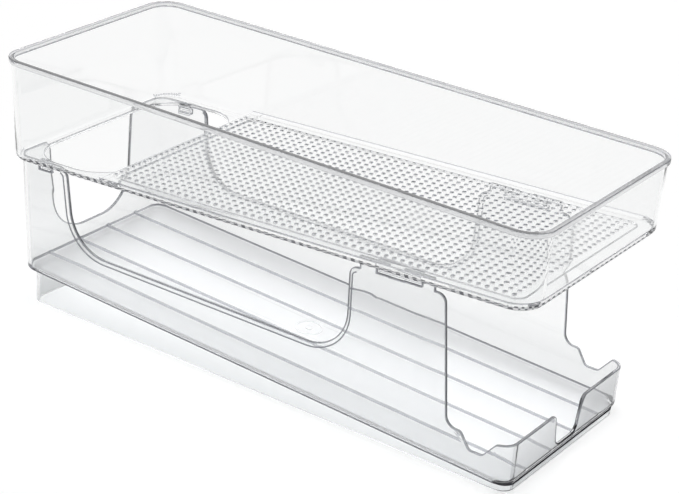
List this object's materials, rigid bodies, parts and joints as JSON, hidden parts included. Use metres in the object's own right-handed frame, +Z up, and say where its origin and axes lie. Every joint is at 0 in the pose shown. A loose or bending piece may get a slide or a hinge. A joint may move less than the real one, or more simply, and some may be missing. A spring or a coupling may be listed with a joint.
{
  "type": "fridge can organizer",
  "caption": "Clear two-level drink can organizer: a tray with a perforated sloping floor and a drop opening stands on a dispenser bin with open sides and a notched front.",
  "frame": {"origin": "under the middle of the tray's rim, at the level that the bin's skirt stands on", "axes": "+X towards the dispensing front, +Y across the width, +Z up"},
  "size_m": [0.37, 0.153, 0.1606],
  "materials": {
    "clear_plastic": "clear, polished"
  },
  "bodies": {
    "root": {"upper_tray": "clear_plastic", "lower_bin": "clear_plastic"}
  },
  "joints": []
}
